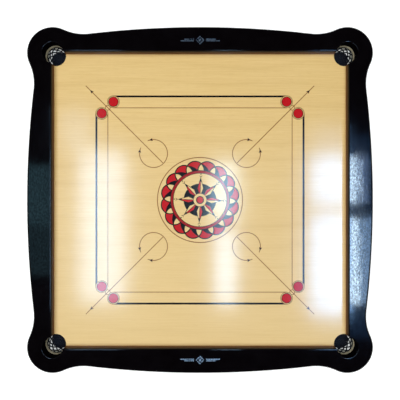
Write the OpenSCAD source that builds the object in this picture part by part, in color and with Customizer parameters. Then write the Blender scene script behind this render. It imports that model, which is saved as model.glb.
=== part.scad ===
// Carrom board: a square plywood playing surface in a black frame with four corner pockets.
// Origin at the centre of the board, on the plane of the frame's underside. +Y is the back, +Z is up.

/* [Playing surface] */
// Side of the square playing surface, between the rebound faces
play_w = 740; // [736:1:744]
// Thickness of the plywood
ply_t = 8; // [6:1:10]
// Radius of each pocket hole
pocket_r = 26; // [24:0.5:26]
// How far each pocket's centre lies inside the playing corner, along each side
pocket_inset = 4; // [3:0.5:5]

/* [Frame] */
// Height of the whole frame
frame_h = 60; // [58:1:64]
// Height of the frame above the playing surface
lip_h = 22; // [20:1:24]
// Width of the frame at the middle of a side
side_w = 60; // [58:1:62]
// Radius of the round lobe that surrounds each pocket
lobe_r = 64; // [62:1:66]
// Radius of the gentle outward curve along each side
bulge_r = 2350; // [2300:10:2400]
// Radius of the hollow between a side and a lobe
neck_r = 120; // [110:5:130]

/* [Rebound strips] */
// Depth of the hardwood rebound strip, away from the playing surface
strip_t = 8; // [6:1:10]
// Height of the black nose that overhangs the rebound strip
nose_h = 5; // [4:0.5:6]

/* [Underside] */
// Width of the rebate that takes the plywood and the ledgers
rebate_w = 28; // [28:0.5:29]
// Width of a ledger
ledger_w = 22; // [18:1:24]
// Width of a cross batten
batten_w = 40; // [30:1:50]
// Height of a cross batten
batten_h = 20; // [16:1:22]
// Distance of each cross batten from the middle of the board
batten_off = 123; // [100:1:150]

/* [Nets] */
// Outer radius of the net's rim, where it is tacked to the plywood
net_rim_r = 31; // [30.5:0.1:31]
// Outer radius of the net's belly
net_r = 27; // [26:0.5:28]
// Number of tacks on each net
tack_n = 6; // [4:1:8]

/* [Printing] */
// Thickness of the printed ink
ink_t = 0.12; // [0.1:0.02:0.2]
// Distance of the thick base line from the middle of the board
base_line = 263; // [262:0.5:264]
// Distance between the thick base line and the thin one
base_gap = 29; // [28.5:0.1:29.5]
// Radius of a base circle
base_r = 15.9; // [15.5:0.1:16]
// Radius of the circle around the centre rose
rose_r = 108; // [106:1:110]
// Turn of the centre rose, clockwise from above
rose_turn = 2; // [0:0.5:4]

/* [Hidden] */
$fn = 48;
half = play_w / 2;                   // centre to rebound face
outer = half + side_w;               // centre to the outside of the frame at mid side
lobe_c = half - pocket_inset;        // centre of a pocket and of its lobe, on each axis
rebate = half + rebate_w;            // centre to the wall of the rebate
top = frame_h;
surface = frame_h - lip_h;           // height of the playing surface
under = surface - ply_t;             // underside of the plywood
corners = [0, 90, 180, 270];         // turns that carry the front right corner to each corner
eps = 0.01;
far = 600;                           // larger than the board in every direction

// Outline of the front side: a bulge arc, a neck arc and a lobe arc that blend into each other
blend = 0.02;                        // how far the neck circle cuts into its neighbours
bulge_c = [0, bulge_r - outer];
front_lobe = [lobe_c, -lobe_c];
neck_c = circles_meet(bulge_c, bulge_r + neck_r - blend, front_lobe, lobe_r + neck_r - blend);
neck_foot = bulge_c + (neck_c - bulge_c) * (bulge_r - 8) / norm(neck_c - bulge_c);

// Dowels across each mitre: one in the lip, one beside the rebate
dowel_r = 4;
dowel_l = 36;
dowel_hole_l = 38;
lip_dowel = [(pocket_r + lobe_r) / 2, surface + lip_h / 2];
low_dowel = [((rebate - lobe_c) * sqrt(2) + lobe_r) / 2, under / 2 + 2];

// Ledgers under the edge of the plywood
ledger_z = 2;                        // clear of the table
ledger_l = 650;
ledger_face = rebate - ledger_w;     // inner face of a ledger
ledger_mid = rebate - ledger_w / 2;
ply_gap = 0.5;                       // between the plywood and the rebate wall
ledger_screw_x = [-260, -130, 0, 130, 260];
ledger_screw_l = 44;
batten_z = under - batten_h;
batten_screw_x = [-260, 0, 260];
batten_screw_l = 26;
screw_r = 2;
screw_head_r = 4;
screw_head_h = 2.4;
screw_tip_h = 3;

// Nets
net_wall = 1.6;
net_rim_t = 1.2;
net_floor_z = 1;
net_floor_t = 3;
net_floor_r = 20;
tack_circle_r = (pocket_r + net_rim_r) / 2;
tack_r = 0.6;
tack_l = 7;
tack_head_r = 2.2;
tack_head_h = 0.8;

// Lines of the print
thick_line = 4.8;
thin_line = 1.8;
ring_line = 1.4;
spot_r = 11.5;                       // red spot inside a base circle
spot_edge = 1.6;                     // dark ring round the red spot
base_half = 220;                     // centre of a base circle along the base line
base_c = base_line + thick_line / 2 - base_r;
arrow_line = 1.9;
arrow_in = 94;                       // arrow's inner end, on each axis
arrow_out = 290;
arrow_head = 276;
arrow_link = 234.2;                  // centre of the small ring between two base circles, on each axis
link_r = 6;
tick_r = 1.9;                        // dots where the arrow crosses that ring
head_l = 9.5;                        // length of an arrowhead
head_w = 8;
arc_c = 118;                         // centre of the arc at the foot of the arrow, on each axis
arc_r = 35.5;
arc_gap = 34;                        // half angle between the arc's two arrowheads
arc_tail = 20;                       // half angle between the thin tails beyond them

// Centre rose
petal_n = 16;
petal_c = 76.5;
petal_r = 22.8;
petal_step = 360 / petal_n;
outline = 2.8;
leaf_c = 60;                         // centre of a larger disc on each petal's axis
leaf_r = 35.8;
rose_line = 2.2;                     // line round the rose
ring_in = 68;
ring_out = 75;
ring_edge = 1.4;                     // dark lines on both sides of the red ring
star_n = 8;
star_disc_r = 41.5;
star_eye_r = 16.4;
eye_spot_r = 7.8;
eye_ring_r = 10;
ray_tip = 58;
ray_edge = [[16, 3], [29.5, 8.5]];               // [radius, half width] along one side of a ray
ray_fill = [[17.4, 2.1], [29.5, 7.1], [46.5, 2]];
ray_mid = 0.6;                       // half width of the line down the middle of a ray

// Foil ornament on the frame
foil_t = 0.1;
foil_y = 396;

// Where two circles cross, on the right of the line from the first centre to the second
function circles_meet(c0, r0, c1, r1) =
    let (d = norm(c1 - c0), u = (c1 - c0) / d)
    let (a = (r0 * r0 - r1 * r1 + d * d) / (2 * d), h = sqrt(r0 * r0 - a * a))
    c0 + a * u + h * [u[1], -u[0]];

function backwards(pts) = [for (i = [len(pts) - 1 : -1 : 0]) pts[i]];

function below(pts) = [for (p = pts) [p[0], -p[1]]];

// ---- helpers ----

module box(lo, hi) {
    translate(lo) cube(hi - lo);
}

module at_corners() {
    for (a = corners) rotate(a) translate([lobe_c, -lobe_c, 0]) children();
}

// Pie slice of the plane that belongs to the front side, bounded by the two mitres
module front_slice() {
    polygon([[0, 0], [-far, -far], [far, -far]]);
}

// The bulge and the lobes, with the corners between them filled and then hollowed by the neck circles
module front_outline() {
    right = [front_lobe, neck_c, neck_foot];
    intersection() {
        difference() {
            union() {
                translate(bulge_c) circle(bulge_r, $fn = 720);
                for (s = [-1, 1]) translate([s * lobe_c, -lobe_c]) circle(lobe_r, $fn = 96);
                polygon(concat([for (p = right) [-p[0], p[1]]], backwards(right)));
            }
            for (s = [-1, 1]) translate([s * neck_c[0], neck_c[1]]) circle(neck_r, $fn = 144);
        }
        front_slice();
    }
}

module pocket_bores(z0, z1) {
    at_corners() translate([0, 0, z0]) cylinder(r = pocket_r, h = z1 - z0, $fn = 72);
}

// Everything that crosses the mitres at the front right corner
module dowel_pair(l) {
    for (d = [lip_dowel, low_dowel])
        translate([lobe_c, -lobe_c, d[1]]) rotate(-45)
            translate([d[0], 0, 0]) rotate([90, 0, 0]) cylinder(r = dowel_r, h = l, center = true, $fn = 32);
}

// Countersunk screw body, pointing up from its head
module screw_body(l) {
    cylinder(r1 = screw_head_r, r2 = screw_r, h = screw_head_h, $fn = 24);
    cylinder(r = screw_r, h = l - screw_tip_h, $fn = 24);
    translate([0, 0, l - screw_tip_h]) cylinder(r1 = screw_r, r2 = screw_r / 4, h = screw_tip_h, $fn = 24);
}

module screw(l) {
    slot = [4.4, 0.9, 1.3];
    difference() {
        screw_body(l);
        for (a = [0, 90])
            rotate(a) translate([-slot[0] / 2, -slot[1] / 2, -eps]) cube(slot);
    }
}

module at_ledger_screws() {
    for (a = corners, x = ledger_screw_x)
        rotate(a) translate([x, -ledger_mid, ledger_z]) children();
}

module at_batten_screws() {
    for (a = corners, x = batten_screw_x)
        rotate(a) translate([x, -batten_off, batten_z]) children();
    for (a = corners)
        rotate(a) translate([batten_off, -batten_off, batten_z]) children();
}

module at_tacks() {
    for (i = [0 : tack_n - 1])
        rotate((i + 0.5) * 360 / tack_n) translate([tack_circle_r, 0, under - net_rim_t]) children();
}

// ---- frame ----

// The front rail, which is also every other rail once it is turned
module rail() {
    color([0.05, 0.05, 0.06]) difference() {
        linear_extrude(frame_h) front_outline();
        box([-half, -half, -1], [half, half, top + 1]);
        box([-rebate, -rebate, -1], [rebate, rebate, surface]);
        box([-lobe_c, -half - strip_t, surface - eps], [lobe_c, -half + 1, top - nose_h]);
        pocket_bores(surface - 1, top + 1);
        for (a = [0, -90]) rotate(a) dowel_pair(dowel_hole_l);
        at_ledger_screws() screw_body(ledger_screw_l);
    }
}

module strip() {
    color([0.42, 0.25, 0.12]) difference() {
        box([-lobe_c, -half - strip_t, surface], [lobe_c, -half, top - nose_h]);
        pocket_bores(surface - 1, top);
    }
}

module mitre_dowels() {
    color([0.82, 0.68, 0.45]) dowel_pair(dowel_l);
}

// ---- playing surface ----

module playing_panel() {
    edge = rebate - ply_gap;
    color([0.89, 0.77, 0.53]) difference() {
        box([-edge, -edge, under], [edge, edge, surface]);
        pocket_bores(under - 1, surface + 1);
        at_ledger_screws() screw_body(ledger_screw_l);
        at_batten_screws() screw_body(batten_screw_l);
        at_corners() at_tacks() tack_body();
    }
}

// ---- underside ----

module ledger() {
    color([0.72, 0.58, 0.4]) difference() {
        box([-ledger_l / 2, -rebate, ledger_z], [ledger_l / 2, -ledger_face, under]);
        at_ledger_screws() screw_body(ledger_screw_l);
    }
}

// A batten along X with halving notches, cut from the top when notch_top is true
module cross_batten(notch_top) {
    mid = batten_z + batten_h / 2;
    notch = notch_top ? [mid, under + 1] : [batten_z - 1, mid];
    color([0.78, 0.66, 0.47]) difference() {
        box([-ledger_face, -batten_off - batten_w / 2, batten_z],
            [ledger_face, -batten_off + batten_w / 2, under]);
        for (x = [-batten_off, batten_off])
            box([x - batten_w / 2, -far, notch[0]], [x + batten_w / 2, far, notch[1]]);
        at_batten_screws() screw_body(batten_screw_l);
    }
}

module ledger_screws() {
    color([0.75, 0.72, 0.6]) at_ledger_screws() screw(ledger_screw_l);
}

module batten_screws() {
    color([0.75, 0.72, 0.6]) at_batten_screws() screw(batten_screw_l);
}

// ---- nets ----

// Half section of the cup that the knotted net fills, from the rim down to the floor
module net_section() {
    rim_z = under - net_rim_t;
    floor_top = net_floor_z + net_floor_t;
    polygon([
        [net_rim_r, under], [net_rim_r, rim_z], [net_r, rim_z - 2], [net_r, net_floor_z + 6],
        [net_floor_r, net_floor_z], [0, net_floor_z],
        [0, floor_top], [net_floor_r - net_wall, floor_top],
        [net_r - net_wall, net_floor_z + 7], [net_r - net_wall, under]
    ]);
}

module net() {
    color([0.09, 0.09, 0.11]) difference() {
        translate([lobe_c, -lobe_c, 0]) rotate_extrude($fn = 60) net_section();
        translate([lobe_c, -lobe_c, 0]) at_tacks() tack_body();
    }
}

module tack_body() {
    cylinder(r = tack_r, h = tack_l, $fn = 16);
}

module net_tacks() {
    color([0.8, 0.79, 0.76]) translate([lobe_c, -lobe_c, 0]) at_tacks() {
        tack_body();
        translate([0, 0, -tack_head_h]) cylinder(r = tack_head_r, h = tack_head_h, $fn = 24);
    }
}

// ---- printing ----

module print_layer(c) {
    color(c) translate([0, 0, surface]) linear_extrude(ink_t) children();
}

module ring(r_out, r_in) {
    difference() {
        circle(r_out, $fn = 120);
        circle(r_in, $fn = 120);
    }
}

// A straight line in the plane, with flat ends
module line(p, q, w) {
    v = q - p;
    translate(p) rotate(atan2(v[1], v[0])) translate([0, -w / 2]) square([norm(v), w]);
}

module at_base_circles() {
    for (a = corners, m = [0, 1])
        rotate(a) mirror([m, 0]) translate([base_half, -base_c]) children();
}

// A line along the front side, between the base circles at its ends
module base_line_at(y, w) {
    difference() {
        line([-base_half, y], [base_half, y], w);
        for (s = [-1, 1]) translate([s * base_half, -base_c]) circle(base_r, $fn = 72);
    }
}

module ink_thick_lines() {
    print_layer([0.1, 0.08, 0.07]) {
        for (a = corners) rotate(a) base_line_at(-base_line, thick_line);
        at_base_circles() ring(spot_r + spot_edge, spot_r);
    }
}

module ink_base_spots() {
    print_layer([0.75, 0.13, 0.15]) at_base_circles() circle(spot_r, $fn = 64);
}

// The arc round the foot of an arrow, open towards the pocket, which lies along +X from its centre
module arrow_arc() {
    difference() {
        ring(arc_r + arrow_line / 2, arc_r - arrow_line / 2);
        polygon([[0, 0], 60 * [cos(arc_tail), -sin(arc_tail)], 60 * [cos(arc_tail), sin(arc_tail)]]);
    }
}

// The ring between two base circles, with a dot on each side, on an arrow along +X
module arrow_link_ring() {
    translate([arrow_link * sqrt(2), 0]) {
        ring(link_r + ring_line / 2, link_r - ring_line / 2);
        for (s = [-1, 1]) translate([s * link_r, 0]) circle(tick_r, $fn = 24);
    }
}

// The heads of one arrow, which points along +X
module arrow_marks() {
    translate([arrow_head * sqrt(2), 0]) arrowhead();
    translate([arc_c * sqrt(2), 0])
        for (s = [-1, 1]) rotate(s * arc_gap) translate([arc_r, 0]) rotate(-90 * s) arrowhead();
}

// Small solid arrowhead that points along +X, with its middle at the origin
module arrowhead() {
    polygon([[head_l / 2, 0], [-head_l / 2, head_w / 2], [-head_l / 3, 0], [-head_l / 2, -head_w / 2]]);
}

module ink_fine_lines() {
    print_layer([0.45, 0.3, 0.17]) {
        for (a = corners) rotate(a) base_line_at(-base_line + base_gap, thin_line);
        at_base_circles() ring(base_r, base_r - ring_line);
        ring(rose_r + rose_line / 2, rose_r - rose_line / 2);
        for (a = corners) rotate(a - 45) difference() {
            union() {
                line([arrow_in * sqrt(2), 0], [arrow_out * sqrt(2), 0], arrow_line);
                translate([arc_c * sqrt(2), 0]) arrow_arc();
                arrow_link_ring();
            }
            arrow_marks();
        }
    }
}

module ink_arrow_heads() {
    print_layer([0.15, 0.1, 0.1]) for (a = corners) rotate(a - 45) arrow_marks();
}

// Place something on every petal's own axis
module at_petals() {
    for (k = [0 : petal_n - 1]) rotate((k + 0.5) * petal_step - rose_turn) children();
}

module petal_disc(k, r) {
    rotate(k * petal_step) translate([petal_c, 0]) circle(r, $fn = 72);
}

// The larger disc on the next petal's axis: its edge parts the red of a petal from its black leaf
module leaf_disc() {
    rotate(petal_step) translate([leaf_c, 0]) circle(leaf_r, $fn = 120);
}

module ink_petals_red() {
    print_layer([0.75, 0.13, 0.15]) {
        at_petals() difference() {
            petal_disc(0, petal_r - outline / 2);
            for (k = [-1, 1]) petal_disc(k, petal_r + outline / 2);
            leaf_disc();
            circle(ring_out + ring_edge / 2, $fn = 120);
        }
        ring(ring_out - ring_edge / 2, ring_in + ring_edge / 2);
    }
}

// The black foot of a petal, which narrows from the ring to the counter-clockwise notch
module black_leaf() {
    difference() {
        intersection() {
            petal_disc(0, petal_r);
            leaf_disc();
        }
        for (k = [-1, 1]) petal_disc(k, petal_r);
        circle(ring_out, $fn = 120);
    }
}

module ink_petals_black() {
    print_layer([0.07, 0.07, 0.08]) {
        difference() {
            at_petals() {
                translate([petal_c, 0]) ring(petal_r + outline / 2, petal_r - outline / 2);
                black_leaf();
            }
            circle(ring_out, $fn = 120);
        }
        ring(ring_out + ring_edge / 2, ring_out - ring_edge / 2);
        ring(ring_in + ring_edge / 2, ring_in - ring_edge / 2);
    }
}

module at_rays() {
    for (k = [0 : star_n - 1]) rotate(k * 360 / star_n - rose_turn) children();
}

// The filling of one half of a ray: the counter-clockwise half is upper
module ray_half(upper) {
    pts = concat([[ray_fill[0][0], ray_mid], [ray_fill[2][0], ray_mid]], backwards(ray_fill));
    polygon(upper ? pts : backwards(below(pts)));
}

module ink_star_red() {
    print_layer([0.75, 0.13, 0.15]) {
        at_rays() ray_half(true);
        circle(eye_spot_r, $fn = 48);
    }
}

module ink_star_black() {
    print_layer([0.07, 0.07, 0.08]) {
        difference() {
            union() {
                circle(star_disc_r, $fn = 96);
                at_rays() polygon(concat(below(ray_edge), [[ray_tip, 0]], backwards(ray_edge)));
            }
            at_rays() {
                ray_half(true);
                ray_half(false);
            }
            circle(star_eye_r, $fn = 72);
        }
        ring(eye_ring_r, eye_spot_r);
        at_rays() {
            for (s = [-1, 1]) line([57.5, 0], [62, 3 * s], 1.2);
            translate([65.5, 0]) circle(1.5, $fn = 16);
        }
    }
}

// ---- foil ----

// A diamond between two pairs of bars, stamped in silver foil on the top of a rail
module foil() {
    color([0.78, 0.79, 0.8]) translate([0, -foil_y, top]) linear_extrude(foil_t) {
        difference() {
            rotate(45) square(15, center = true);
            rotate(45) square(11, center = true);
        }
        rotate(45) square(6, center = true);
        for (m = [0, 1]) mirror([m, 0]) {
            translate([15, 0.9]) square([34, 2.2]);
            translate([15, -3.1]) square([24, 2.2]);
        }
    }
}

rail();  // rail_front
rotate(90) rail();  // rail_right
rotate(180) rail();  // rail_back
rotate(270) rail();  // rail_left
strip();  // strip_front
rotate(90) strip();  // strip_right
rotate(180) strip();  // strip_back
rotate(270) strip();  // strip_left
mitre_dowels();  // mitre_dowels_front_right
rotate(90) mitre_dowels();  // mitre_dowels_back_right
rotate(180) mitre_dowels();  // mitre_dowels_back_left
rotate(270) mitre_dowels();  // mitre_dowels_front_left
playing_panel();
ledger();  // ledger_front
rotate(90) ledger();  // ledger_right
rotate(180) ledger();  // ledger_back
rotate(270) ledger();  // ledger_left
cross_batten(true);  // cross_batten_front
rotate(180) cross_batten(true);  // cross_batten_back
rotate(270) cross_batten(false);  // cross_batten_left
rotate(90) cross_batten(false);  // cross_batten_right
ledger_screws();
batten_screws();
net();  // net_front_right
rotate(90) net();  // net_back_right
rotate(180) net();  // net_back_left
rotate(270) net();  // net_front_left
net_tacks();  // net_tacks_front_right
rotate(90) net_tacks();  // net_tacks_back_right
rotate(180) net_tacks();  // net_tacks_back_left
rotate(270) net_tacks();  // net_tacks_front_left
ink_thick_lines();
ink_fine_lines();
ink_arrow_heads();
ink_base_spots();
ink_petals_red();
ink_petals_black();
ink_star_red();
ink_star_black();
foil();  // foil_front
rotate(180) foil();  // foil_back
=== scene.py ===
import math
import random

import bmesh
import bpy
from mathutils import Matrix, Vector


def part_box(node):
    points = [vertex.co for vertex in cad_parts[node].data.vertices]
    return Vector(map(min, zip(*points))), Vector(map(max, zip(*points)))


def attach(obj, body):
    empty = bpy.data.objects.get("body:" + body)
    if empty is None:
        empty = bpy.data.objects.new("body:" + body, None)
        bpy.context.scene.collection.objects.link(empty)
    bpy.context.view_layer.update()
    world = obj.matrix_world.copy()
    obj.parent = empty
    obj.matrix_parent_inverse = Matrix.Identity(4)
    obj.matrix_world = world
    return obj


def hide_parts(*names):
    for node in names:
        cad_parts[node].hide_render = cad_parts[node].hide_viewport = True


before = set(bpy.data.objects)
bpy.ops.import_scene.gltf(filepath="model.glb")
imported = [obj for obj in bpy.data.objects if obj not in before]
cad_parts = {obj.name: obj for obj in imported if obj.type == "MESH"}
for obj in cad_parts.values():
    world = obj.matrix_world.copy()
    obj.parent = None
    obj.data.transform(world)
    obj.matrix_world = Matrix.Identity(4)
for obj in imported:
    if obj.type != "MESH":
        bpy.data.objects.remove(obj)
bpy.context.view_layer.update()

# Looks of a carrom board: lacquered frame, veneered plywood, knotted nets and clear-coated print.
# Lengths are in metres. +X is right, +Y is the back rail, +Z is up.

MM = 0.001
SIDES = ["front", "right", "back", "left"]                          # turned by 0, 90, 180 and 270 degrees
CORNERS = ["front_right", "back_right", "back_left", "front_left"]

# ---- measures that the frame gives ----

panel_low, panel_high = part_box("playing_panel")
rail_low, rail_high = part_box("rail_front")
strip_low, strip_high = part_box("strip_front")
ledger_low, ledger_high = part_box("ledger_front")
net_low, net_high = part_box("net_front_right")

TOP = rail_high.z
SURFACE = panel_high.z
UNDER = panel_low.z
NOSE = strip_high.z                         # underside of the black nose above the strip
HALF = -strip_high.y                        # centre to rebound face
RECESS = -strip_low.y                       # centre to the back of the strip
REBATE = -ledger_low.y                      # centre to the wall behind the ledger
OUTER = -rail_low.y                         # centre to the outside of the frame at mid side
LOBE = (net_low.x + net_high.x) / 2         # pocket centre, on each axis
LOBE_R = (-rail_low.x - LOBE) * math.sqrt(2)
POCKET_R = math.hypot(LOBE - strip_high.x, RECESS - LOBE)

# ---- measures of the looks ----

BULGE_R = 2350 * MM
NECK_R = 120 * MM
ROUND_OUT = 5 * MM                          # outer top edge of the frame
ROUND_IN = 0.9 * MM                         # inner top edge and pocket mouth
ROUND_FOOT = 2 * MM
FLAT_MARGIN = 0.4 * MM
POCKET_CORNER = 3 * MM                      # upright edge where a pocket meets the inner wall
CORNER_STEPS = 40                           # sections of a rail from its mitre to the end of the pocket
SIDE_STEPS = 24                             # and from there to mid side

RED_RING_R = 71.5 * MM                      # middle and half width of the red ring inside the petals
RED_RING_W = 3.4 * MM

CORD_R = 1.5 * MM
FOLD_CORD_R = 1.2 * MM
RIM_CORD_R = 1.4 * MM
MESH_COLUMNS = 11
RIM_R = (net_high.x - net_low.x) / 2 - 3 * MM
RIM_Z = net_high.z - 3 * MM
BELLY_R = RIM_R - 3 * MM
GATHER_R = 3 * MM
KNOT_STRAY = 1.1 * MM                       # most that a knot lies off its even place, on each axis
CORD_SAG = 0.4 * MM                         # of a cord between two knots
RIM_WAVE = 0.25 * MM                        # of the rim cord between two loops
RIM_STEPS = 84
LOOP_STEPS = 10
GATHER_STEPS = 20
NET_LOW = net_low.z + 2.3 * MM
NET_OUTLINE = [                             # share of the depth, radius and height
    (0.0, RIM_R, RIM_Z), (0.1, BELLY_R + 1 * MM, RIM_Z - 5 * MM), (0.3, BELLY_R, RIM_Z - 13 * MM),
    (0.48, BELLY_R - 2 * MM, NET_LOW + 4 * MM), (0.56, BELLY_R - 6 * MM, NET_LOW + 1 * MM),
    (1.0, GATHER_R, NET_LOW)]
FOLDS = [                                   # meshes round the bag, shares of the depth, how far inside it
    (19, [0.42, 0.48, 0.54, 0.62, 0.7, 0.77, 0.84, 0.92, 1], 2.4 * MM),
    (17, [0.46, 0.54, 0.62, 0.7, 0.77, 0.84, 0.92, 1], 4.4 * MM)]


# ======== small helpers ========

def polar(centre, radius, angle):
    return Vector((centre[0] + radius * math.cos(angle), centre[1] + radius * math.sin(angle)))


def direction(a, b):
    return math.atan2(b[1] - a[1], b[0] - a[0])


def spread(start, stop, count):
    """count values from start up to but not including stop."""
    return [start + (stop - start) * i / count for i in range(count)]


def new_piece(name, mesh, replaces):
    """A new object on the board that stands for one node of the frame."""
    obj = bpy.data.objects.new(name, mesh)
    bpy.context.scene.collection.objects.link(obj)
    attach(obj, "root")
    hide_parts(replaces)
    return obj


def smooth_by_angle(bm, degrees=35):
    for face in bm.faces:
        face.smooth = True
    for edge in bm.edges:
        if len(edge.link_faces) == 2:
            edge.smooth = edge.calc_face_angle(0) < math.radians(degrees)


def paint(obj, material):
    obj.data.materials.clear()
    obj.data.materials.append(material)


# ======== materials ========

CLEAR_ROUGH = 0.15                          # roughness of the clear lacquer over veneer and print

class Nodes:
    """A short way to write a node tree: every call adds a node and returns its output."""

    def __init__(self, name):
        self.material = bpy.data.materials.new(name)
        self.material.use_nodes = True
        self.tree = self.material.node_tree
        self.shader = self.tree.nodes["Principled BSDF"]

    def link(self, value, socket):
        if isinstance(value, bpy.types.NodeSocket):
            self.tree.links.new(value, socket)
        else:
            socket.default_value = value

    def add(self, kind, inputs=None, output=0, **props):
        node = self.tree.nodes.new(kind)
        for key, value in props.items():
            setattr(node, key, value)
        for key, value in (inputs or {}).items():
            self.link(value, node.inputs[key])
        return node.outputs[output]

    def place(self):
        return self.add("ShaderNodeTexCoord", output="Object")

    def stretch(self, scale, vector=None, rotation=(0, 0, 0)):
        return self.add("ShaderNodeMapping", {
            "Vector": vector or self.place(), "Scale": scale, "Rotation": rotation})

    def grain(self, along):
        """Object coordinates with X along the grain, which runs along X (along=0) or Y (along=1)."""
        return self.stretch((1, 1, 1), rotation=(0, 0, math.radians(-90) if along else 0))

    def noise(self, vector, scale, detail=3.0, roughness=0.5):
        return self.add("ShaderNodeTexNoise", {
            "Vector": vector, "Scale": scale, "Detail": detail, "Roughness": roughness})

    def math(self, operation, a, b=0.0):
        return self.add("ShaderNodeMath", {0: a, 1: b}, operation=operation)

    def near(self, value, middle, reach):
        """1 where the value lies within reach of the middle, and 0 elsewhere."""
        return self.add("ShaderNodeMath", {0: value, 1: middle, 2: reach}, operation="COMPARE")

    def length(self, x, y):
        return self.math("SQRT", self.math("ADD", self.math("MULTIPLY", x, x), self.math("MULTIPLY", y, y)))

    def split(self, vector):
        node = self.tree.nodes.new("ShaderNodeSeparateXYZ")
        self.link(vector, node.inputs[0])
        return node.outputs

    def span(self, value, low, high, to_low=0.0, to_high=1.0):
        return self.add("ShaderNodeMapRange", {
            "Value": value, "From Min": low, "From Max": high, "To Min": to_low, "To Max": to_high})

    def mix(self, factor, a, b, blend="MIX"):
        node = self.tree.nodes.new("ShaderNodeMix")
        node.data_type = "RGBA"
        node.blend_type = blend
        self.link(factor, node.inputs["Factor"])
        self.link(a, node.inputs["A"])
        self.link(b, node.inputs["B"])
        return node.outputs["Result"]

    def bump(self, height, distance, strength):
        return self.add("ShaderNodeBump", {"Height": height, "Distance": distance, "Strength": strength})

    def finish(self, **inputs):
        for key, value in inputs.items():
            self.link(value, self.shader.inputs[key.replace("_", " ")])
        return self.material


def rgb(red, green, blue):
    """Linear colour from 0-255 display values."""
    def linear(v):
        v /= 255
        return v / 12.92 if v <= 0.04045 else ((v + 0.055) / 1.055) ** 2.4
    return (linear(red), linear(green), linear(blue), 1.0)


def lacquer_black(name, along):
    """Gloss black lacquer over open-pored wood, brushed along X (along=0) or Y (along=1).

    The upright outer faces are less glossy than the top, the inner ones are satin, and the hidden wall
    under the panel is bare wood."""
    n = Nodes(name)
    base = n.grain(along)
    streaks = n.noise(n.stretch((90, 300, 300), base), 1.0, 3.0, 0.6)
    waves = n.noise(n.stretch((70, 120, 120), base), 1.0, 2.0, 0.6)
    mottle = n.noise(n.place(), 26, 4.0, 0.65)
    tone = n.mix(n.span(mottle, 0.35, 0.7), rgb(5, 3, 5), rgb(9, 7, 10))
    sway = n.noise(n.stretch((14, 22, 22), base), 1.0, 1.0)
    fine = n.math("MULTIPLY", streaks, n.span(mottle, 0.35, 0.65, 0.05, 0.2))
    height = n.math("ADD", n.math("MULTIPLY", sway, 1.5), n.math("ADD", n.math("MULTIPLY", waves, 0.3), fine))

    # thick and thin spots, which break up what the lacquer mirrors
    thickness = n.span(n.noise(n.stretch((190, 280, 280), base), 1.0, 3.0, 0.65), 0.36, 0.64, 0.4, 1.0)
    x, y, z = n.split(n.place())
    level = n.math("ABSOLUTE", n.split(n.add("ShaderNodeNewGeometry", output="Normal"))[2])
    edge = n.math("MAXIMUM", n.math("ABSOLUTE", x), n.math("ABSOLUTE", y))
    inside = n.math("LESS_THAN", edge, REBATE + 1 * MM)
    inner_wall = n.math("MULTIPLY", inside, n.math("LESS_THAN", level, 0.3))
    hidden = n.math("MULTIPLY", inside, n.math("LESS_THAN", z, UNDER))
    gloss = n.math("MULTIPLY", n.span(inner_wall, 0, 1, 1.0, 0.08), n.span(level, 0.1, 0.7, 0.5, 1.0))
    bare = n.mix(n.span(streaks, 0.3, 0.7), rgb(240, 242, 232), rgb(222, 222, 208))
    relief = n.bump(height, 0.4 * MM, 0.35)
    return n.finish(
        Base_Color=n.mix(hidden, tone, bare),
        Roughness=n.span(mottle, 0.3, 0.7, 0.4, 0.55),
        Specular_IOR_Level=0.0,
        Normal=relief,
        Coat_Weight=n.math("MULTIPLY", gloss, thickness),
        Coat_Roughness=n.span(streaks, 0.3, 0.7, 0.06, 0.11),
        Coat_Normal=relief)


def wood(name, light, dark, along, rings, rough):
    """Wood with its grain along X (along=0) or Y (along=1): growth bands, fine fibres and pores."""
    n = Nodes(name)
    base = n.grain(along)
    wander = n.noise(n.stretch((1.6, 5, 5), base), 1.0, 3.0)
    drift = n.math("MULTIPLY", wander, 0.55)
    across, height = n.split(base)[1:]
    phase = n.math("ADD", n.math("ADD", across, n.math("MULTIPLY", height, 0.8)), drift)
    band = n.math("PINGPONG", n.math("MULTIPLY", phase, rings), 1.0)
    fibre = n.noise(n.stretch((14, 420, 420), base), 1.0, 4.0, 0.65)
    pore = n.span(n.noise(n.stretch((60, 1500, 1500), base), 1.0, 1.0), 0.62, 0.72)
    shade = n.math("ADD", n.math("MULTIPLY", band, 0.45), n.math("MULTIPLY", fibre, 0.55))
    colour = n.mix(n.span(shade, 0.2, 0.8), light, dark)
    colour = n.mix(n.math("MULTIPLY", pore, 0.5), colour, n.mix(1.0, dark, (0.6, 0.55, 0.5, 1), "MULTIPLY"))
    relief = n.math("SUBTRACT", fibre, n.math("MULTIPLY", pore, 0.6))
    return n.finish(
        Base_Color=colour,
        Roughness=n.span(fibre, 0.3, 0.7, rough[0], rough[1]),
        Normal=n.bump(relief, 0.15 * MM, 0.5))


def strip_wood(name, along):
    """Varnished hardwood strip, with painted shade that darkens it towards the nose above it and painted
    bounce light from the panel at its foot.
    """
    n = Nodes(name)
    base = n.grain(along)
    height = n.split(base)[2]
    fibre = n.noise(n.stretch((16, 500, 500), base), 1.0, 4.0, 0.65)
    wander = n.noise(n.stretch((3, 60, 60), base), 1.0, 2.0)
    # painted light and shade: the strip's brown turns golden at its foot, as light from the panel, and near
    # black under the nose, as shade
    up = n.span(n.math("ADD", height, n.math("MULTIPLY", wander, 3 * MM)), SURFACE + 2 * MM, NOSE - 2 * MM)
    light = n.mix(up, rgb(156, 104, 48), rgb(46, 26, 12))
    dark = n.mix(up, rgb(104, 64, 28), rgb(24, 13, 7))
    return n.finish(
        Base_Color=n.mix(n.span(fibre, 0.3, 0.7), light, dark),
        Roughness=n.span(fibre, 0.3, 0.7, 0.35, 0.5),
        Normal=n.bump(fibre, 0.12 * MM, 0.5),
        Specular_IOR_Level=0.1,
        Coat_Weight=0.12,
        Coat_Roughness=0.2)


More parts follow.
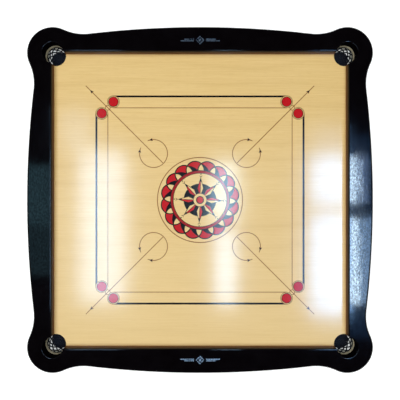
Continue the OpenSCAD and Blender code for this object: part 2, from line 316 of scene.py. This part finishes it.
def play_veneer():
    """The playing panel: pale rotary-cut veneer under clear lacquer on top, glued plies at every cut edge."""
    n = Nodes("play_veneer")
    place = n.place()
    x, y, z = n.split(place)

    # growth lines that wander across the grain, as on sliced veneer
    drift = n.math("MULTIPLY", n.noise(n.stretch((1.5, 4, 1), place), 1.0, 2.0), 0.14)
    ripple = n.math("MULTIPLY", n.noise(n.stretch((7, 26, 1), place), 1.0, 2.0), 0.012)
    phase = n.math("MULTIPLY", n.math("ADD", y, n.math("ADD", drift, ripple)), 40)
    figure = n.math("POWER", n.math("PINGPONG", phase, 1.0), 3.0)
    faint = n.span(n.noise(n.stretch((2.6, 9, 1), place), 1.0, 2.0), 0.35, 0.65)
    figure = n.math("MULTIPLY", figure, faint)
    cloud = n.noise(n.stretch((2.2, 5, 1), place), 1.0, 2.0)
    fibre = n.noise(n.stretch((9, 330, 1), place), 1.0, 5.0, 0.6)
    pore = n.span(n.noise(n.stretch((45, 1300, 1), place), 1.0, 1.0), 0.6, 0.72)
    top = n.mix(n.span(fibre, 0.3, 0.75), rgb(242, 213, 150), rgb(230, 197, 131))
    top = n.mix(n.math("MULTIPLY", figure, 0.32), top, rgb(206, 166, 100))
    top = n.mix(n.span(cloud, 0.35, 0.75, 0.0, 0.35), top, rgb(226, 192, 124))
    top = n.mix(n.math("MULTIPLY", pore, 0.25), top, rgb(198, 154, 92))

    # the sheet is a little paler towards the front
    top = n.mix(n.span(y, 0.25, -0.35, 0.0, 0.4), top, rgb(240, 216, 166))

    # painted shade: the panel darkens a little in the corner against the wall
    edge = n.math("MAXIMUM", n.math("ABSOLUTE", x), n.math("ABSOLUTE", y))
    top = n.mix(n.span(edge, HALF - 6 * MM, HALF + 1 * MM, 0.0, 0.3), top, rgb(190, 135, 70))

    # glued plies, seen on the walls of the pocket holes
    ply = n.math("PINGPONG", n.math("MULTIPLY", n.math("SUBTRACT", z, UNDER), 5 / (SURFACE - UNDER)), 1.0)
    cut = n.mix(n.span(ply, 0.35, 0.65), rgb(216, 212, 190), rgb(170, 160, 132))
    glue = n.math("LESS_THAN", ply, 0.08)
    cut = n.mix(n.math("MULTIPLY", glue, 0.6), cut, rgb(104, 86, 64))
    blotch = n.noise(n.stretch((300, 300, 900), place), 1.0, 2.0)
    cut = n.mix(n.math("MULTIPLY", blotch, 0.3), cut, rgb(188, 180, 152))

    up = n.split(n.add("ShaderNodeNewGeometry", output="Normal"))[2]
    on_top = n.math("GREATER_THAN", up, 0.5)
    colour = n.mix(on_top, cut, top)
    relief = n.math("SUBTRACT", fibre, n.math("MULTIPLY", pore, 0.7))
    return n.finish(
        Base_Color=colour,
        Roughness=n.span(on_top, 0, 1, 0.75, 0.4),
        Normal=n.bump(relief, 0.05 * MM, 0.35),
        Specular_IOR_Level=0.0,
        Coat_Weight=on_top,
        Coat_Roughness=CLEAR_ROUGH)


def ink(name, colour, worn, ring=None):
    """Print under the same clear lacquer as the veneer, a little thinner along the grain.

    ring is the colour of the ring inside the petals, which is printed deeper."""
    n = Nodes(name)
    if ring:
        x, y = n.split(n.place())[:2]
        colour = n.mix(n.near(n.length(x, y), RED_RING_R, RED_RING_W), colour, ring)
    fibre = n.noise(n.stretch((9, 330, 1)), 1.0, 5.0, 0.6)
    speck = n.noise(n.place(), 900, 2.0)
    tone = n.mix(n.span(fibre, 0.4, 0.8, 0.0, 0.35), colour, worn)
    tone = n.mix(n.span(speck, 0.55, 0.75, 0.0, 0.25), tone, worn)
    return n.finish(
        Base_Color=tone,
        Roughness=n.span(fibre, 0.3, 0.7, 0.4, 0.5),
        Normal=n.bump(fibre, 0.03 * MM, 0.3),
        Specular_IOR_Level=0.0,
        Coat_Weight=1.0,
        Coat_Roughness=CLEAR_ROUGH)


def metal(name, colour, rough):
    n = Nodes(name)
    scratch = n.noise(n.stretch((700, 140, 700)), 1.0, 3.0)
    stain = n.noise(n.place(), 180, 3.0)
    stained = n.mix(1.0, colour, (0.55, 0.5, 0.45, 1), "MULTIPLY")
    tone = n.mix(n.span(stain, 0.4, 0.75, 0.0, 0.5), colour, stained)
    return n.finish(
        Base_Color=tone,
        Metallic=1.0,
        Roughness=n.span(scratch, 0.3, 0.7, rough - 0.08, rough + 0.12),
        Normal=n.bump(scratch, 0.03 * MM, 0.4))


def net_cord():
    """Twisted black cotton cord: fine slanting strands and a dull sheen."""
    n = Nodes("net_cord")
    strand = n.noise(n.stretch((1100, 1100, 500)), 1.0, 2.0)
    fuzz = n.noise(n.place(), 2600, 2.0)
    tone = n.mix(n.span(strand, 0.35, 0.7), rgb(4, 4, 12), rgb(13, 13, 28))
    return n.finish(
        Base_Color=tone,
        Roughness=n.span(fuzz, 0.3, 0.7, 0.6, 0.85),
        Normal=n.bump(strand, 0.25 * MM, 0.8),
        Specular_IOR_Level=0.2,
        Sheen_Weight=0.05,
        Sheen_Roughness=0.5)


BLACK_X = lacquer_black("lacquer_black_x", 0)
BLACK_Y = lacquer_black("lacquer_black_y", 1)
VENEER = play_veneer()
STRIP_X = strip_wood("strip_wood_x", 0)
STRIP_Y = strip_wood("strip_wood_y", 1)
PINE_X = wood("batten_wood_x", rgb(222, 190, 142), rgb(186, 146, 96), 0, 26, (0.6, 0.8))
PINE_Y = wood("batten_wood_y", rgb(222, 190, 142), rgb(186, 146, 96), 1, 26, (0.6, 0.8))
DOWEL = wood("dowel_wood", rgb(224, 196, 150), rgb(196, 160, 110), 0, 60, (0.55, 0.7))
INK_BLACK = ink("ink_black", rgb(16, 12, 14), rgb(36, 28, 25))
INK_FINE = ink("ink_fine", rgb(136, 84, 34), rgb(168, 116, 60))
INK_BROWN = ink("ink_brown", rgb(50, 26, 24), rgb(78, 48, 36))
INK_RED = ink("ink_red", rgb(194, 6, 18), rgb(200, 16, 26), ring=rgb(152, 10, 14))
FOIL = metal("foil_silver", rgb(214, 216, 220), 0.28)
SCREW = metal("screw_zinc", rgb(214, 194, 130), 0.34)
TACK = metal("tack_steel", rgb(190, 190, 186), 0.3)
CORD = net_cord()


# ======== frame rails ========

def circles_meet(c0, r0, c1, r1):
    """Where two circles cross, on the right of the line from the first centre to the second."""
    step = Vector(c1) - Vector(c0)
    gap = step.length
    step /= gap
    along = (r0 * r0 - r1 * r1 + gap * gap) / (2 * gap)
    aside = math.sqrt(r0 * r0 - along * along)
    return Vector(c0) + along * step + aside * Vector((step.y, -step.x))


def outer_path(corner_count, side_count):
    """Points and outward directions along the outside of the front rail, from the right mitre inwards."""
    lobe = Vector((LOBE, -LOBE))
    bulge = Vector((0, BULGE_R - OUTER))
    neck = circles_meet(bulge, BULGE_R + NECK_R, lobe, LOBE_R + NECK_R)
    neck_count = corner_count * 2 // 5
    path = []
    for a in spread(math.radians(-45), direction(lobe, neck), corner_count - neck_count):
        path.append((polar(lobe, LOBE_R, a), polar((0, 0), 1, a)))
    for a in spread(direction(neck, lobe), direction(neck, bulge), neck_count):
        path.append((polar(neck, NECK_R, a), -polar((0, 0), 1, a)))
    for a in spread(direction(bulge, neck), math.radians(-90), side_count):
        path.append((polar(bulge, BULGE_R, a), polar((0, 0), 1, a)))
    path.append((Vector((0, -OUTER)), Vector((0, -1))))
    return path


def inner_path(corner_count, side_count):
    """The same along the pocket and the rebound face. The third item is the wall below the nose."""
    lobe = Vector((LOBE, -LOBE))
    turn = POCKET_CORNER
    foot = Vector((LOBE - math.sqrt((POCKET_R + turn) ** 2 - (HALF - LOBE + turn) ** 2), -HALF - turn))
    recess_angle = -math.pi + math.asin((RECESS - LOBE) / POCKET_R)
    foot_angle = direction(lobe, foot)
    bore_count = corner_count * 3 // 5
    lead_count = corner_count // 5
    turn_count = corner_count - bore_count - lead_count
    path = []
    for a in spread(math.radians(-45), recess_angle, bore_count):
        wall = polar(lobe, POCKET_R, a)
        path.append((wall, -polar((0, 0), 1, a), wall))
    recess_xs = spread(polar(lobe, POCKET_R, recess_angle).x, foot.x, lead_count + turn_count)
    for i, a in enumerate(spread(recess_angle, foot_angle, lead_count)):
        path.append((polar(lobe, POCKET_R, a), -polar((0, 0), 1, a), Vector((recess_xs[i], -RECESS))))
    for i, a in enumerate(spread(direction(foot, lobe), math.radians(90), turn_count)):
        path.append((polar(foot, turn, a), polar((0, 0), 1, a), Vector((recess_xs[lead_count + i], -RECESS))))
    for x in spread(foot.x, 0, side_count) + [0]:
        path.append((Vector((x, -HALF)), Vector((0, 1)), Vector((x, -RECESS))))
    return path


def rail_section(outer, inner, rebate_x):
    """Closed loop of points round the rail at one place along it."""
    (out, out_way), (inn, in_way, wall) = outer, inner
    loop = []

    def point(xy, z):
        loop.append((xy[0], xy[1], z))

    # the flats stop FLAT_MARGIN short of each rounding, so that their shading stays level
    for a in [0, 30, 60, 90]:
        s, c = math.sin(math.radians(a)), math.cos(math.radians(a))
        point(out - out_way * ROUND_FOOT * (1 - s), ROUND_FOOT * (1 - c))
    point(out, ROUND_FOOT + FLAT_MARGIN)
    point(out, TOP - ROUND_OUT - FLAT_MARGIN)
    for a in [0, 15, 30, 45, 60, 75, 90]:
        s, c = math.sin(math.radians(a)), math.cos(math.radians(a))
        point(out - out_way * ROUND_OUT * (1 - c), TOP - ROUND_OUT * (1 - s))
    point(out - out_way * (ROUND_OUT + FLAT_MARGIN), TOP)
    point(inn - in_way * (ROUND_IN + FLAT_MARGIN), TOP)
    for a in [0, 22.5, 45, 67.5, 90]:
        s, c = math.sin(math.radians(a)), math.cos(math.radians(a))
        point(inn - in_way * ROUND_IN * (1 - s), TOP - ROUND_IN * (1 - c))
    point(inn, TOP - ROUND_IN - FLAT_MARGIN)
    point(inn, NOSE)
    point(wall, NOSE)
    point(wall, SURFACE)
    point((rebate_x, -REBATE), SURFACE)
    point((rebate_x, -REBATE), 0)
    return loop


def rail_mesh(name):
    outer = outer_path(CORNER_STEPS, SIDE_STEPS)
    inner = inner_path(CORNER_STEPS, SIDE_STEPS)
    start_x = inner[CORNER_STEPS][0].x
    rebate_xs = spread(REBATE, start_x, CORNER_STEPS) + spread(start_x, 0, SIDE_STEPS) + [0]
    right = [rail_section(o, i, x) for o, i, x in zip(outer, inner, rebate_xs)]
    left = [[(-x, y, z) for x, y, z in loop] for loop in right[-2::-1]]
    bm = bmesh.new()
    loops = [[bm.verts.new(p) for p in loop] for loop in right + left]
    size = len(loops[0])
    for a, b in zip(loops, loops[1:]):
        for i in range(size):
            j = (i + 1) % size
            bm.faces.new((a[i], a[j], b[j], b[i]))
    bm.faces.new(loops[0])
    bm.faces.new(loops[-1][::-1])
    bmesh.ops.remove_doubles(bm, verts=bm.verts, dist=1e-6)
    bmesh.ops.dissolve_degenerate(bm, edges=bm.edges, dist=1e-6)
    bmesh.ops.recalc_face_normals(bm, faces=bm.faces)
    smooth_by_angle(bm)
    mesh = bpy.data.meshes.new(name)
    bm.to_mesh(mesh)
    bm.free()
    return mesh


def build_rails():
    for turn, side in enumerate(SIDES):
        mesh = rail_mesh("frame_rail_" + side)
        mesh.transform(Matrix.Rotation(math.radians(90 * turn), 4, "Z"))
        rail = new_piece("frame_rail_" + side, mesh, "rail_" + side)
        paint(rail, BLACK_X if side in ("front", "back") else BLACK_Y)


# ======== pocket nets ========

def add_tube(bm, points, radius, sides, closed=False):
    """A round cord along some points, with flat ends or joined end to end."""
    count = len(points)
    rings = []
    aside = None
    for i, p in enumerate(points):
        ahead = points[(i + 1) % count] if closed or i + 1 < count else p
        behind = points[i - 1] if closed or i else p
        way = (ahead - behind).normalized()
        if aside is None:
            aside = way.cross(Vector((0.3, 0.2, 1))).normalized()
        aside = (aside - way * aside.dot(way)).normalized()
        across = way.cross(aside)
        turns = [math.tau * k / sides for k in range(sides)]
        rings.append([bm.verts.new(p + radius * (math.cos(t) * aside + math.sin(t) * across)) for t in turns])
    pairs = list(zip(rings, rings[1:] + rings[:1])) if closed else list(zip(rings, rings[1:]))
    for a, b in pairs:
        for k in range(sides):
            m = (k + 1) % sides
            bm.faces.new((a[k], a[m], b[m], b[k]))
    if not closed:
        bm.faces.new(rings[0][::-1])
        bm.faces.new(rings[-1])


def add_knot(bm, at, radius, out):
    """A small flattened knot that sits on the net, with its short way along out."""
    turn = out.to_track_quat("Z", "Y").to_matrix().to_4x4()
    place = Matrix.Translation(at) @ turn @ Matrix.Diagonal((radius, radius, radius * 0.8, 1))
    bmesh.ops.create_icosphere(bm, subdivisions=1, radius=1, matrix=place)


def net_point(share, angle, inset=0.0, lift=0.0):
    """A point on the slack bag, from its rim (0) to its gathered bottom (1).

    inset and lift give a fold that lies inside it."""
    for (s0, r0, z0), (s1, r1, z1) in zip(NET_OUTLINE, NET_OUTLINE[1:]):
        if share <= s1:
            k = (share - s0) / (s1 - s0)
            r = max(r0 + (r1 - r0) * k - inset, GATHER_R)
            return Vector((math.cos(angle) * r, math.sin(angle) * r, z0 + (z1 - z0) * k + lift))
    raise ValueError(share)


def add_netting(bm, chance, columns, shares, cord_r, inset=0.0, lift=0.0):
    """Diamond meshes between rows of knots at the given shares of the bag's depth."""
    step = math.tau / columns
    middle = Vector((0, 0, RIM_Z))
    rows = []
    for i, share in enumerate(shares):
        slack = KNOT_STRAY if 0 < i < len(shares) - 1 else 0
        row = [net_point(share, step * (k + 0.5 * (i % 2)), inset, lift) for k in range(columns)]
        rows.append([p + Vector([chance.uniform(-slack, slack), chance.uniform(-slack, slack),
                                 chance.uniform(0, slack)]) for p in row])
    for i in range(len(rows) - 1):
        for k in range(columns):
            for m in (k, k + 1 if i % 2 else k - 1):
                a, b = rows[i][k], rows[i + 1][m % columns]
                half = (a + b) / 2
                sag = half + (half - middle).normalized() * CORD_SAG
                add_tube(bm, [a, (a + sag) / 2, sag, (sag + b) / 2, b], cord_r, 6)
    for row in rows[1:]:
        for p in row:
            add_knot(bm, p, cord_r * 1.5, p - middle)


def net_mesh(name, seed):
    chance = random.Random(seed)
    bm = bmesh.new()
    add_netting(bm, chance, MESH_COLUMNS, [0, 0.12, 0.27, 0.42, 0.54, 0.68, 0.84, 1], CORD_R)
    # slack folds that lie inside the bottom of the bag
    for columns, shares, inset in FOLDS:
        add_netting(bm, chance, columns, shares, FOLD_CORD_R, inset, inset)
    step = math.tau / MESH_COLUMNS
    rim = []
    for a in spread(0, math.tau, RIM_STEPS):
        wave = RIM_WAVE * math.sin(a * MESH_COLUMNS)
        rim.append(net_point(0, a) + Vector((0, 0, wave)))
    add_tube(bm, rim, RIM_CORD_R, 8, closed=True)
    for k in range(MESH_COLUMNS):
        # each top mesh is looped once round the rim cord
        centre, out = net_point(0, step * k), Vector((math.cos(step * k), math.sin(step * k), 0))
        loop_r = RIM_CORD_R + 0.3 * CORD_R
        loop = [centre + loop_r * (math.cos(a) * out + math.sin(a) * Vector((0, 0, 1)))
                for a in spread(0, math.tau, LOOP_STEPS)]
        add_tube(bm, loop, CORD_R, 6, closed=True)
    for lift in [0] + [inset for columns, shares, inset in FOLDS]:
        gather = [polar((0, 0), GATHER_R, a).to_3d() + Vector((0, 0, NET_LOW + lift))
                  for a in spread(0, math.tau, GATHER_STEPS)]
        add_tube(bm, gather, CORD_R * 1.3, 6, closed=True)
    smooth_by_angle(bm, 60)
    mesh = bpy.data.meshes.new(name)
    bm.to_mesh(mesh)
    bm.free()
    return mesh


def build_nets():
    for turn, corner in enumerate(CORNERS):
        mesh = net_mesh("pocket_net_" + corner, turn + 5)
        mesh.transform(Matrix.Rotation(math.radians(90 * turn - 45), 4, "Z"))
        low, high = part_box("net_" + corner)
        mesh.transform(Matrix.Translation(((low.x + high.x) / 2, (low.y + high.y) / 2, 0)))
        net = new_piece("pocket_net_" + corner, mesh, "net_" + corner)
        paint(net, CORD)


# ======== pieces kept from the frame ========

def finish_kept_nodes():
    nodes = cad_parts
    for side in SIDES:
        along_x = side in ("front", "back")
        paint(nodes["strip_" + side], STRIP_X if along_x else STRIP_Y)
        paint(nodes["ledger_" + side], PINE_X if along_x else PINE_Y)
        paint(nodes["cross_batten_" + side], PINE_X if along_x else PINE_Y)
    for corner in CORNERS:
        paint(nodes["mitre_dowels_" + corner], DOWEL)
        paint(nodes["net_tacks_" + corner], TACK)
    paint(nodes["playing_panel"], VENEER)
    for name in ["ledger_screws", "batten_screws"]:
        paint(nodes[name], SCREW)
    for name in ["ink_thick_lines", "ink_petals_black", "ink_star_black"]:
        paint(nodes[name], INK_BLACK)
    for name in ["ink_base_spots", "ink_petals_red", "ink_star_red"]:
        paint(nodes[name], INK_RED)
    paint(nodes["ink_fine_lines"], INK_FINE)
    paint(nodes["ink_arrow_heads"], INK_BROWN)
    for name in ["foil_front", "foil_back"]:
        paint(nodes[name], FOIL)


# ======== stage, lights and camera ========

FLOOR_HALF = 30                             # half the floor's width
FLOOR_DROP = 0.5 * MM                       # floor below the foot of the frame
NET_GLOW = 0.42                             # glow of the floor round a net
# painted light: the glow under the board lights the pocket walls and the frame's underside from below
BOARD_GLOW = 1.6                            # under the rest of the board
NEAR_GLOW, FAR_GLOW = 0.6, 0.93             # up to 1 m from the middle of the board, and from 5 m on
NET_SHADE = (46 * MM, 56 * MM)              # from a pocket's centre, where NET_GLOW gives way to BOARD_GLOW


def build_floor():
    bm = bmesh.new()
    bmesh.ops.create_grid(bm, x_segments=2, y_segments=2, size=FLOOR_HALF)
    mesh = bpy.data.meshes.new("floor")
    bm.to_mesh(mesh)
    bm.free()
    floor = bpy.data.objects.new("floor", mesh)
    bpy.context.scene.collection.objects.link(floor)
    floor.location.z = -FLOOR_DROP
    n = Nodes("floor_white")
    tone = n.mix(n.noise(n.place(), 3, 2.0), (0.7, 0.7, 0.7, 1), (0.74, 0.74, 0.74, 1))
    # painted light: the floor glows like a lit table, most of all under the board, where it lights the pocket
    # walls and the underside from below; painted shade makes it dark where the nets lie over it
    x, y = n.split(n.add("ShaderNodeVectorMath", {"Vector": n.place()}, operation="ABSOLUTE"))[:2]
    far = n.math("MAXIMUM", x, y)
    from_net = n.length(n.math("SUBTRACT", x, LOBE), n.math("SUBTRACT", y, LOBE))
    under_net = n.span(from_net, BELLY_R - 2 * MM, BELLY_R + 2 * MM, 1.0, 0.0)
    # painted shade: the floor is darkened under each net
    tone = n.mix(under_net, tone, (0.12, 0.12, 0.14, 1))
    around = n.span(under_net, 1.0, 0.0, 0.0, NET_GLOW)
    under = n.span(from_net, NET_SHADE[0], NET_SHADE[1], around, BOARD_GLOW)
    away = n.span(far, 1.0, 5.0, NEAR_GLOW, FAR_GLOW)
    glow = n.span(far, OUTER - 20 * MM, OUTER - 8 * MM, under, away)
    paint(floor, n.finish(Base_Color=tone, Roughness=0.9, Specular_IOR_Level=0.1,
                          Emission_Color=(0.93, 0.98, 1, 1), Emission_Strength=glow))


# Windows over the board, which only its gloss shows: name, x, y, width, depth, radiance and colour
GLARE_Z = 2.6
GLARES = [
    ("left", -0.985, -0.27, 0.46, 1.52, 15.5, (0.48, 0.71, 1.0)),
    ("left_far", -1.25, 0.7, 0.28, 0.4, 6, (0.44, 0.69, 1.0)),
    ("middle_near", 0.26, -0.68, 0.18, 0.75, 25, (0.44, 0.69, 1.0)),
    ("middle_far", 0.25, 0.08, 0.24, 0.58, 23, (0.5, 0.78, 1.0)),
    ("right_near", 1.3, -0.66, 0.36, 1.02, 28, (0.28, 0.55, 1.0)),
    ("right_far", 1.3, 0.2, 0.36, 0.5, 26, (0.28, 0.55, 1.0)),
    ("right_skirt", 1.3, 0.6, 0.36, 0.3, 4, (0.28, 0.55, 1.0)),
    ("rail_near", 1.535, -0.6, 0.085, 0.86, 42, (0.65, 0.84, 1.0)),
    ("rail_far", 1.525, 0.2, 0.065, 0.46, 46, (0.65, 0.84, 1.0)),
    ("edge_near", 1.66, -0.6, 0.165, 0.86, 11.5, (0.34, 0.59, 1.0)),
    ("edge_far", 1.61, 0.2, 0.105, 0.46, 7, (0.25, 0.47, 1.0)),
    ("rail_veil", 1.62, -0.36, 0.28, 2.02, 0.8, (0.13, 0.4, 1.0)),
    ("far_left_near", -1.75, -0.5, 0.6, 0.5, 0.6, (0.35, 0.8, 1.0)),
    ("far_left_far", -1.75, 0.05, 0.6, 0.6, 1.2, (0.35, 0.8, 1.0))]


def area_light(name, centre, size, radiance, colour, glossy=True):
    """A rectangular softbox that faces straight down, and lights either by mirroring or by diffuse light.

    radiance is its brightness, as the board would mirror it."""
    data = bpy.data.lights.new(name, "AREA")
    data.shape = "RECTANGLE"
    data.size, data.size_y = size
    data.energy = radiance * math.pi * size[0] * size[1]
    data.color = colour
    light = bpy.data.objects.new(name, data)
    bpy.context.scene.collection.objects.link(light)
    light.location = centre
    light.visible_glossy = glossy
    light.visible_diffuse = not glossy
    light.visible_camera = False


SKY = [                                     # height above the horizon (1 is overhead) and light from there
    (0.0, (0.9, 0.91, 0.93, 1)), (0.08, (0.7, 0.72, 0.75, 1)),
    (0.2, (0.16, 0.18, 0.2, 1)), (0.6, (0.002, 0.002, 0.002, 1))]


def build_lights():
    area_light("fill", (-0.4, 0, 3.2), (3.4, 3.4), 3.5, (1.0, 0.985, 0.94), glossy=False)
    for name, x, y, width, depth, radiance, colour in GLARES:
        area_light("glare_" + name, (x, y, GLARE_Z), (width, depth), radiance, colour)
    world = bpy.data.worlds.new("studio")
    bpy.context.scene.world = world
    world.use_nodes = True
    tree = world.node_tree
    place = tree.nodes.new("ShaderNodeTexCoord")
    split = tree.nodes.new("ShaderNodeSeparateXYZ")
    tree.links.new(place.outputs["Generated"], split.inputs[0])
    ramp = tree.nodes.new("ShaderNodeValToRGB")
    stops = ramp.color_ramp.elements
    stops[0].position, stops[0].color = SKY[0]
    stops[1].position, stops[1].color = SKY[-1]
    for height, colour in SKY[1:-1]:
        stops.new(height).color = colour
    tree.links.new(split.outputs["Z"], ramp.inputs["Fac"])
    seen = tree.nodes.new("ShaderNodeMix")
    seen.data_type = "RGBA"
    tree.links.new(tree.nodes.new("ShaderNodeLightPath").outputs["Is Camera Ray"], seen.inputs["Factor"])
    tree.links.new(ramp.outputs["Color"], seen.inputs["A"])
    seen.inputs["B"].default_value = (0.95, 0.96, 0.97, 1)
    tree.links.new(seen.outputs["Result"], tree.nodes["Background"].inputs["Color"])


def build_camera():
    data = bpy.data.cameras.new("camera")
    camera = bpy.data.objects.new("camera", data)
    bpy.context.scene.collection.objects.link(camera)
    height = 0.86                                       # above the playing surface
    wide = 1.016                                        # width of the playing plane that the view takes in
    data.lens = data.sensor_width * height / wide
    camera.location = (0, 0, SURFACE + height)
    bpy.context.scene.camera = camera


def main():
    bpy.context.scene.view_settings.view_transform = "Standard"
    build_camera()
    build_rails()
    build_nets()
    finish_kept_nodes()
    build_floor()
    build_lights()


main()
